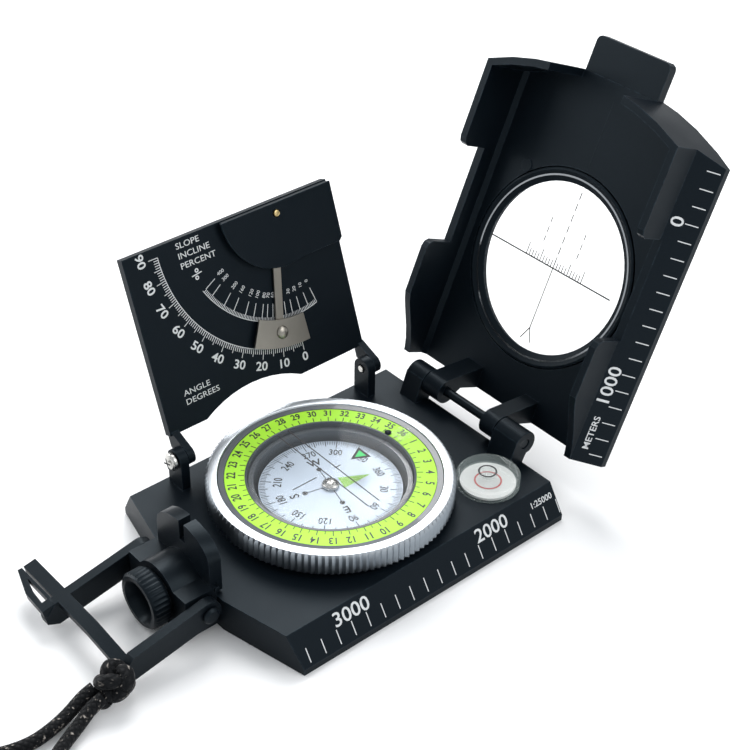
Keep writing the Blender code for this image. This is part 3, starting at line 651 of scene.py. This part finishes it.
class COMPASS_OT_stage(bpy.types.Operator):
    """Camera, pale floor and soft studio light"""
    bl_idname = "compass.stage"
    bl_label = "Stage"

    EYE = (204.5, -169.1, 234.2)
    AIM = (-23.44, 19.66, 15.0)
    # Each lamp is (name, place, size in metres, power in watts), and shines at the origin
    LAMPS = (("key", (-420, 330, 620), 0.55, 5.5), ("left", (-520, -260, 260), 0.4, 2.0),
             ("right", (420, 220, 420), 0.4, 1.2))

    @staticmethod
    def aimed(at, target):
        """Stands at one point and looks at another."""
        return Matrix.Translation(at) @ (target - at).to_track_quat("-Z", "Y").to_matrix().to_4x4()

    def execute(self, context):
        scene = context.scene
        lens = bpy.data.cameras.new("camera")
        lens.lens, lens.sensor_width = 75.22, 36.0
        lens.shift_x, lens.shift_y = 0.058, 0.018
        lens.clip_start, lens.clip_end = 0.01, 20.0
        camera = bpy.data.objects.new("camera", lens)
        scene.collection.objects.link(camera)
        camera.matrix_world = self.aimed(Vector(self.EYE) * MM, Vector(self.AIM) * MM)
        scene.camera = camera

        bm = bmesh.new()
        bmesh.ops.create_grid(bm, x_segments=1, y_segments=1, size=6.0)
        mesh = bpy.data.meshes.new("floor")
        bm.to_mesh(mesh)
        bm.free()
        floor = bpy.data.objects.new("floor", mesh)
        floor.location.z = -0.0001
        scene.collection.objects.link(floor)
        white = (0.95, 0.95, 0.95, 1.0)
        pale = finish("pale_floor", Base_Color=white, Roughness=0.9, Specular_IOR_Level=0.1)[0]
        mesh.materials.append(pale)

        world = bpy.data.worlds.new("studio")
        world.use_nodes = True
        backing = world.node_tree.nodes["Background"]
        backing.inputs["Color"].default_value = (0.93, 0.965, 1.0, 1.0)
        backing.inputs["Strength"].default_value = 0.72
        scene.world = world
        for name, place, size, power in self.LAMPS:
            light = bpy.data.lights.new(name, "AREA")
            light.shape, light.size, light.energy = "DISK", size, power
            lamp = bpy.data.objects.new(name, light)
            lamp.matrix_world = self.aimed(Vector(place) * MM, Vector())
            scene.collection.objects.link(lamp)
        scene.view_settings.view_transform = "Standard"
        return {"FINISHED"}


class COMPASS_OT_lanyard(bpy.types.Operator):
    """Braided cord, its knot on the thumb loop, and the hank of spare cord"""
    bl_idname = "compass.lanyard"
    bl_label = "Lanyard"

    # Each strand from the knot to the hank, and the hank's middle
    LEFT = ((11.3, -69.6, 3.8), (11.3, -72.5, 2.9), (12.2, -76.5, 1.8), (13.2, -81.0, 1.5),
            (13.6, -86.0, 1.5), (12.2, -91.5, 1.5), (9.2, -97.0, 1.5), (5.4, -101.8, 1.5), (2.9, -108.6, 1.5))
    RIGHT = ((14.6, -69.6, 3.8), (14.7, -72.5, 2.9), (16.0, -76.5, 1.8), (18.0, -81.0, 1.5),
             (20.9, -86.0, 1.5), (25.2, -91.0, 1.5), (30.8, -96.0, 1.5), (36.8, -101.4, 1.5),
             (39.1, -109.0, 3.0))
    COIL = (21.0, -118.0)

    @staticmethod
    def smooth(points, steps):
        """A curve through every point, with this many steps from each to the next."""
        route, padded = [], [points[0], *points, points[-1]]
        for a, b, c, d in zip(padded, padded[1:], padded[2:], padded[3:]):
            for i in range(steps):
                t = i / steps
                route.append(Vector([0.5 * (2 * q + (r - p) * t + (2 * p - 5 * q + 4 * r - s) * t * t
                                            + (3 * q - p - 3 * r + s) * t ** 3)
                                     for p, q, r, s in zip(a, b, c, d)]))
        return route + [Vector(points[-1])]

    def route(self):
        """The whole cord: down one strand, round the hank and back up the other."""
        slots = [(r, 1.5) for r in (18.6, 15.75, 12.9)] + [(r, 4.25) for r in (12.9, 15.75, 18.6)]
        per_turn, coil = 26, []
        for i in range(int((len(slots) - 0.5) * per_turn) + 1):
            k = i / per_turn
            low = min(int(k), len(slots) - 1)
            high = min(low + 1, len(slots) - 1)
            ease = max(0.0, min(1.0, (k - low - 0.55) / 0.45))
            ease = ease * ease * (3 - 2 * ease)
            r = slots[low][0] + (slots[high][0] - slots[low][0]) * ease
            z = slots[low][1] + (slots[high][1] - slots[low][1]) * ease
            angle = pi + 2 * pi * k
            coil.append(Vector((self.COIL[0] + r * cos(angle), self.COIL[1] + r * sin(angle), z)))
        left = self.smooth([*self.LEFT, tuple(coil[0])], 3)
        right = self.smooth([*self.RIGHT, tuple(coil[-1])], 3)
        return [p * MM for p in left[:-1] + coil + right[::-1][1:]]

    def execute(self, context):
        path = self.route()
        radius = sizes().cord_thickness / 2
        cord = piece("lanyard_cord", swept(path, radius), "nylon", "base",
                     replaces=("lanyard_strand_left", "lanyard_strand_right", "lanyard_hank"))
        knot = self.knot()
        return {"FINISHED"}

    def knot(self):
        """A tight round knot: the cord wound over itself round the arm's end, with a small turn below."""
        middle, below = Vector((13.1, -65.7, 4.8)), Vector((13.4, -69.0, 3.0))
        route, lobe = [], []
        for t in (2 * pi * i / 96 for i in range(96)):
            reach = 2.15 + 0.75 * cos(3 * t)
            route.append(middle + Vector((reach * cos(2 * t), reach * sin(2 * t), 1.75 * sin(3 * t))))
        for t in (2 * pi * i / 20 for i in range(20)):
            lobe.append(below + Vector((1.5 * cos(t), 0.9 * sin(t), 1.1 * sin(t))))
        bm = swept([p * MM for p in route + route[:1]], 1.55 * MM)
        join(bm, swept([p * MM for p in lobe + lobe[:1]], 1.3 * MM))
        return piece("lanyard_knot_wound", bm, "nylon", "loop", replaces=("lanyard_knot",))


class COMPASS_OT_castings(bpy.types.Operator):
    """Satin paint, rounded edges and plated fasteners on the frame's own pieces, with black bars as painted
    shade in the screw slots
    """
    bl_idname = "compass.castings"
    bl_label = "Castings"

    LOOKS = {
        "paint": ("base_housing", "bottom_cover", "lid_shell", "clinometer_leaf", "pendulum_cover",
                  "window_ring"),
        "moulded": ("eyepiece_block", "eyepiece_tube", "thumb_loop", "lid_hinge_pin", "loop_screw_left",
                    "loop_screw_right", "eyepiece_pin"),
        "steel": ("cover_screw_1", "cover_screw_2", "cover_screw_3", "cover_screw_4", "leaf_hinge_screw",
                  "leaf_hinge_pin", "pivot_needle", "card_magnet", "jewel_cap"),
        "nickel": ("pendulum_arm", "pendulum_weight", "weight_rivet"),
        "brass": ("pendulum_pivot",),
        "grey": ("capsule_bowl",),
        "window": ("lid_window",),
        "glass": ("bezel_crystal", "index_lens"),
        "vial": ("level_vial",),
        "white": ("level_seat",),
        "green": ("graduated_ring",),
        "card": ("compass_card",),
        "lens": ("eyepiece_lens",),
    }
    CAST = ("base_housing", "lid_shell", "clinometer_leaf", "eyepiece_block", "thumb_loop")
    FINE = ("lid_hinge_pin", "leaf_hinge_screw", "leaf_hinge_pin", "weight_rivet", "pendulum_pivot",
            "capsule_bowl", "window_ring", "jewel_cap", "loop_screw_left", "loop_screw_right",
            "bezel_crystal", "level_vial", "eyepiece_tube", "eyepiece_lens", "graduated_ring",
            "compass_card", "index_lens", "lid_window", "eyepiece_pin")

    def execute(self, context):
        for finish_name, nodes in self.LOOKS.items():
            for node in nodes:
                dress(node, finish_name)
        for node in self.CAST:
            soften(node, sizes().edge_radius)
        soften("pendulum_cover", 0.12 * MM)
        for node in self.FINE:
            soften(node, 0.08 * MM)
        # Painted shade: thin black bars on the leaf's hinge screw stand for the shaded hollows of its cross
        # slots.
        slots = bmesh.new()
        head = Matrix.Translation((LEAF_AXIS[0], -26.5, LEAF_AXIS[1])) @ Matrix.Rotation(pi / 2, 4, "X")
        for turn in (20, 110):
            plate(slots, head @ Matrix.Rotation(radians(turn), 4, "Z"), -0.22, 0.22, -1.3, 1.3)
        piece("leaf_screw_slots_painted_shade", slots, "black_ink", "base", smooth=False)
        # Painted shade: three black bars on the jewel cap stand for the shaded grooves across its top.
        cap = bmesh.new()
        for x in (-0.75, 0.0, 0.75):
            plate(cap, Matrix.Translation((0, 0, 12.42)) @ Matrix.Rotation(radians(35), 4, "Z"),
                  x - 0.07, x + 0.07, -0.9, 0.9)
        piece("jewel_cap_slots_painted_shade", cap, "black_ink", "card", smooth=False)
        return {"FINISHED"}


class COMPASS_OT_bezel(bpy.types.Operator):
    """Knurled bezel ring"""
    bl_idname = "compass.bezel"
    bl_label = "Bezel"

    def execute(self, context):
        outside = [(26.4, 9.1, 0.0), (26.9, 9.6, 0.0), (27.62, 10.1, 0.6), (27.62, 14.2, 0.6),
                   (27.0, 14.88, 0.1)]
        rim = [(26.8, 14.92, 0.0), (25.2, 14.95, 0.0), (25.0, 14.9, 0.0), (24.7, 14.35, 0.0),
               (23.7, 14.3, 0.0)]
        seat = [(23.6, 14.2, 0.0), (23.6, 13.6, 0.0), (18.6, 13.6, 0.0), (18.6, 9.1, 0.0)]
        bm = ring_of_loops(outside + rim + seat, sizes().knurl_teeth)
        piece("bezel_knurled", bm, "knurled", "bezel", replaces=("bezel_ring",))
        seals = {"dial_seal": [(23.45, 14.3), (24.6, 14.3), (24.75, 14.62), (23.5, 14.42)],
                 "crystal_seal": [(18.36, 13.65), (18.86, 13.65), (18.86, 14.4), (18.36, 14.5)],
                 "bore_liner": [(18.42, 9.2), (18.58, 9.2), (18.58, 13.55), (18.42, 13.55)]}
        for name, profile in seals.items():
            piece(name, turned(profile, 96), "grey", "bezel")
        return {"FINISHED"}


class COMPASS_OT_ring_scale(bpy.types.Operator):
    """Numbers and marks on the green ring"""
    bl_idname = "compass.ring_scale"
    bl_label = "Ring scale"

    def execute(self, context):
        bm = bmesh.new()
        for number in range(1, 37):
            angle = 10.0 * number - 2.0
            words(bm, str(number), 2.75, around(angle, 21.8, RING_TOP), bold=0.05, squeeze=0.8)
            plate(bm, around(angle, 19.6, RING_TOP), -0.1, 0.1, -0.6, 0.75)
            plate(bm, around(angle + 5.0, 19.6, RING_TOP), -0.08, 0.08, -0.6, 0.25)
        piece("ring_figures", bm, "black_ink", "bezel", smooth=False)
        screw = turned([(0, 0), (0.8, 0), (0.8, 0.3), (0.5, 0.5), (0, 0.5)], 24, around(-8.5, 19.5, RING_TOP))
        piece("index_screw", screw, "moulded", "bezel")
        return {"FINISHED"}


class COMPASS_OT_card_print(bpy.types.Operator):
    """Numbers, letters and arrows on the floating card"""
    bl_idname = "compass.card_print"
    bl_label = "Card print"

    def execute(self, context):
        bm = bmesh.new()
        for degree in range(0, 360, 2):
            inner = 13.2 if degree % 30 == 0 else (13.9 if degree % 10 == 0 else 14.5)
            wide = 0.09 if degree % 10 == 0 else 0.055
            plate(bm, around(degree - CARD_TURN, 0.0, CARD_TOP), -wide, wide, inner, 15.8)
        for degree in range(30, 361, 30):
            words(bm, str(degree), 2.7, around(degree - CARD_TURN, 11.7, CARD_TOP), bold=0.03, squeeze=0.78)
        for degree, letter in ((90, "E"), (180, "S"), (270, "W")):
            words(bm, letter, 3.0, around(degree - CARD_TURN, 8.6, CARD_TOP), bold=0.05)
            plate(bm, around(degree - CARD_TURN, 0.0, CARD_TOP), -0.1, 0.1, 1.8, 5.8)
            dot = [(0, 0), (0.62, 0), (0.62, PRINT), (0, PRINT)]
            join(bm, turned(dot, 20, around(degree - CARD_TURN, 6.2, CARD_TOP)))
        piece("card_figures", bm, "black_ink", "card", smooth=False)
        arrow = bmesh.new()
        triangle(arrow, around(-CARD_TURN, 0.0, CARD_TOP), [(-1.9, 2.6), (1.9, 2.6), (0.0, 9.8)])
        piece("card_arrow", arrow, "arrow", "card", smooth=False)
        return {"FINISHED"}


class COMPASS_OT_crystal_marks(bpy.types.Operator):
    """Sighting lines and index on the crystal"""
    bl_idname = "compass.crystal_marks"
    bl_label = "Crystal marks"

    def execute(self, context):
        flat = Matrix.Translation((0, 0, CRYSTAL_TOP))
        bm = bmesh.new()
        for y in (-1.5, 1.5):
            plate(bm, flat, -16.9, 14.5, y - 0.14, y + 0.14)
        for low, high in ((-10.6, -4.0), (1.2, 2.8), (8.4, 9.2), (11.6, 17.0)):
            plate(bm, flat, -0.13, 0.13, low, high)
        triangle(bm, flat, [(-2.2, 9.9), (2.2, 9.9), (0.0, 5.7)])
        piece("crystal_lines", bm, "black_ink", "bezel", smooth=False)
        index, over = bmesh.new(), Matrix.Translation((0, 0, CRYSTAL_TOP + 0.035))
        triangle(index, over, [(-1.2, 9.25), (1.2, 9.25), (0.0, 7.0)])
        piece("crystal_index", index, "mark", "bezel", smooth=False)
        return {"FINISHED"}


class COMPASS_OT_level(bpy.types.Operator):
    """Red circle and bubble of the level, with a black ring of painted shade round the bubble"""
    bl_idname = "compass.level"
    bl_label = "Level"

    def execute(self, context):
        place = Matrix.Translation((*LEVEL, 9.22))
        ring = turned([(2.75, 0), (3.15, 0), (3.15, 0.05), (2.75, 0.05)], 40, place)
        piece("level_circle", ring, "red", "base", smooth=False)
        bubble = bmesh.new()
        bmesh.ops.create_uvsphere(bubble, u_segments=28, v_segments=14, radius=1.0)
        middle = Matrix.Translation((LEVEL[0] - 0.4, LEVEL[1] + 0.3, 10.9))
        flat = Matrix.Diagonal((2.2, 2.2, 0.45, 1.0))
        bmesh.ops.transform(bubble, verts=bubble.verts, matrix=SCALE @ middle @ flat)
        piece("level_bubble", bubble, "vial", "base")
        # Painted shade: a thin black ring over the vial stands for the dark rim that the bubble's curved edge
        # shows.
        top = Matrix.Translation((LEVEL[0] - 0.5, LEVEL[1] + 0.2, 11.42))
        edge = turned([(1.75, 0), (2.15, 0), (2.15, 0.05), (1.75, 0.05)], 40, top)
        piece("level_bubble_painted_shade_ring", edge, "black_ink", "base", smooth=False)
        return {"FINISHED"}


class COMPASS_OT_rulers(bpy.types.Operator):
    """Ruler marks and numbers on the base and the lid"""
    bl_idname = "compass.rulers"
    bl_label = "Rulers"

    BASE_START, BASE_MARKS = -31.56, 19
    LID_START, LID_MARKS = 3.38, 18

    @staticmethod
    def marks(bm, place, start, count, step):
        for n in range(count):
            x = start + step * n
            plate(bm, place, x - 0.11, x + 0.11, 0.75, 3.95)

    def execute(self, context):
        step = sizes().tick_step / MM
        base = slope_plane(Matrix.Identity(4), (27.9, 8.4), (32.4, 1.6))
        bm, start = bmesh.new(), self.BASE_START
        self.marks(bm, base, start, self.BASE_MARKS, step)
        words(bm, "3000", 4.3, base, start + 3 * step + 0.8, 5.6, bold=0.04, squeeze=1.12)
        words(bm, "2000", 4.3, base, start + 13 * step + 0.8, 5.6, bold=0.04, squeeze=1.12)
        words(bm, "1:25000", 2.0, base, start + 17 * step, 5.3, bold=0.02, squeeze=1.05)
        piece("base_ruler", bm, "white_ink", "base", smooth=False)
        lid = slope_plane(on_lid(), (27.9, -4.9), (32.4, -11.2))
        bm, start = bmesh.new(), self.LID_START
        self.marks(bm, lid, start, self.LID_MARKS, step)
        words(bm, "0", 4.3, lid, start + 14 * step, 5.6, bold=0.04, squeeze=1.1)
        words(bm, "1000", 4.3, lid, start + 4 * step + 0.6, 5.6, bold=0.04, squeeze=1.12)
        words(bm, "METERS", 2.15, lid, start + 1 * step + 1.0, 5.3, bold=0.02, squeeze=1.12)
        piece("lid_ruler", bm, "white_ink", "lid", smooth=False)
        return {"FINISHED"}


class COMPASS_OT_window(bpy.types.Operator):
    """Hairlines and distance marks on the lid window, and a thin chrome ring that stands in for the glint on
    the window ring
    """
    bl_idname = "compass.window"
    bl_label = "Window marks"

    def execute(self, context):
        glass = on_lid(WINDOW, -11.68)
        bm = bmesh.new()
        plate(bm, glass, -20.2, 17.6, -0.17, 0.17)
        plate(bm, glass, -0.12, 0.12, -15.4, 0.0)
        for i in range(7):
            plate(bm, glass, -0.13, 0.13, 0.8 + 2.7 * i, 2.6 + 2.7 * i)
        for i in range(-10, 11):
            x = 0.86 * i
            plate(bm, glass, x - 0.11, x + 0.11, 0.0, 2.9 if i % 5 == 0 else 1.7)
        for side in (-1, 1):
            for i in range(3):
                plate(bm, glass, side * 5.2 - 0.12, side * 5.2 + 0.12, 4.6 + 2.3 * i, 6.0 + 2.3 * i)
            plate(bm, glass @ Matrix.Translation((0, -15.2, 0)) @ Matrix.Rotation(radians(26 * side), 4, "Z"),
                  -0.14, 0.14, -3.6, 0.0)
        piece("window_hairlines", bm, "black_ink", "lid", smooth=False)
        # Painted highlight: a thin chrome ring inside the black window ring stands in for the bright glint
        # line along it.
        rim = turned([(21.35, 0.0), (21.75, 0.0), (21.75, 0.12), (21.35, 0.12)], 96, on_lid(WINDOW, -10.42))
        piece("window_painted_glint_rim", rim, "chrome", "lid")
        sight = bmesh.new()
        plate(sight, on_lid(0.0, -10.33), -0.08, 0.08, 59.6, 76.0, 0.05)
        piece("lid_sight_line", sight, "moulded", "lid", smooth=False)
        return {"FINISHED"}


class COMPASS_OT_clinometer(bpy.types.Operator):
    """Scales and words on the clinometer leaf"""
    bl_idname = "compass.clinometer"
    bl_label = "Clinometer scales"

    # Where each slope in percent stands on the inner scale
    PERCENT_ANGLES = {0: -14.5, 10: -8.7, 20: -3.0, 30: 2.3, 40: 6.8, 50: 11.6, 60: 15.6, 70: 19.4, 80: 22.8,
                      100: 28.4, 120: 34.0, 160: 42.0, 200: 49.0, 300: 58.5, 400: 64.0}
    UNDER_THE_ARM = (40, 50)

    def execute(self, context):
        face, bm = on_leaf(), bmesh.new()
        py, pv = PENDULUM

        def spoke(angle, r0, r1, wide):
            """A mark that points at the pivot. Angle is from straight down towards the front."""
            turn = face @ Matrix.Translation((py, pv, 0)) @ Matrix.Rotation(radians(-angle), 4, "Z")
            plate(bm, turn, -wide, wide, -r1, -r0)

        for degree in range(0, 91):
            r1 = 33.6 if degree % 10 == 0 else (33.0 if degree % 5 == 0 else 32.4)
            spoke(degree + 0.5, 31.2, r1, 0.08)
        for i in range(90):
            spoke(i + 1.0, 31.1, 31.26, 0.29)
        for value in range(0, 91, 10):
            angle = radians(value + 0.6)
            words(bm, str(value), 2.9, face, py - 35.6 * sin(angle), pv + 0.4 - 35.6 * cos(angle),
                  turn=-value * 0.95, bold=0.05, squeeze=1.12)
        for i in range(79):
            spoke(-14.5 + i, 23.9, 24.8, 0.07)
            spoke(-14.0 + i, 24.75, 24.9, 0.23)
        for value, angle in self.PERCENT_ANGLES.items():
            spoke(angle, 20.8, 24.0, 0.08)
            if value not in self.UNDER_THE_ARM:
                a = radians(angle)
                words(bm, str(value), 1.2, face, py - 18.8 * sin(a), pv - 18.8 * cos(a), turn=80 - angle,
                      squeeze=1.1)
        words(bm, "%", 3.2, face, py - 22.9, pv - 6.6, turn=-50, bold=0.02)
        for row, text in enumerate(("SLOPE", "INCLINE", "PERCENT")):
            words(bm, text, 1.95, face, -9.1, 44.1 - 2.3 * row, align="LEFT", squeeze=1.16)
        for row, text in enumerate(("ANGLE", "DEGREES")):
            words(bm, text, 1.9, face, -16.6, 12.2 - 2.1 * row, align="LEFT", squeeze=1.2)
        piece("leaf_scales", bm, "white_ink", "leaf", smooth=False)
        return {"FINISHED"}


class COMPASS_OT_focus_ring(bpy.types.Operator):
    """Ribbed focus ring of the eyepiece"""
    bl_idname = "compass.focus_ring"
    bl_label = "Focus ring"

    def execute(self, context):
        loops = [(5.0, 0.0, 0.0), (5.9, 0.0, 0.0), (6.15, 0.25, 0.0), (6.5, 0.6, 0.32), (6.5, 3.7, 0.32),
                 (6.2, 4.1, 0.0), (6.0, 4.4, 0.0), (3.8, 4.4, 0.0), (3.8, 2.6, 0.0), (4.6, 0.7, 0.0)]
        bm = ring_of_loops(loops, sizes().focus_ribs)
        back_end = Vector((0, -51.4, 7.2)) * MM
        place = Matrix.Translation(back_end) @ Matrix.Rotation(-pi / 2, 4, "X")
        bmesh.ops.transform(bm, matrix=place, verts=bm.verts)
        piece("focus_ring_ribbed", bm, "moulded", "focus", replaces=("focus_ring",))
        return {"FINISHED"}


class COMPASS_PT_panel(bpy.types.Panel):
    """Every step of the compass, and its sizes and colours"""
    bl_label = "Sighting Compass"
    bl_idname = "COMPASS_PT_panel"
    bl_space_type = "VIEW_3D"
    bl_region_type = "UI"
    bl_category = "Compass"

    def draw(self, context):
        for step in STEPS:
            self.layout.operator(step.bl_idname)
        for values in (context.scene.compass_sizes, context.scene.compass_colours):
            for name in values.__annotations__:
                self.layout.prop(values, name)


STEPS = (COMPASS_OT_stage, COMPASS_OT_lanyard, COMPASS_OT_castings, COMPASS_OT_bezel,
         COMPASS_OT_ring_scale, COMPASS_OT_card_print, COMPASS_OT_crystal_marks, COMPASS_OT_level,
         COMPASS_OT_rulers, COMPASS_OT_window, COMPASS_OT_clinometer, COMPASS_OT_focus_ring)
CLASSES = (CompassSizes, CompassColours, *STEPS, COMPASS_PT_panel)


def register():
    for cls in CLASSES:
        bpy.utils.register_class(cls)
    bpy.types.Scene.compass_sizes = bpy.props.PointerProperty(type=CompassSizes)
    bpy.types.Scene.compass_colours = bpy.props.PointerProperty(type=CompassColours)


def unregister():
    del bpy.types.Scene.compass_colours
    del bpy.types.Scene.compass_sizes
    for cls in reversed(CLASSES):
        bpy.utils.unregister_class(cls)


def main():
    register()
    for step in STEPS:
        area, name = step.bl_idname.split(".")
        getattr(getattr(bpy.ops, area), name)()


if __name__ == "__main__":
    main()
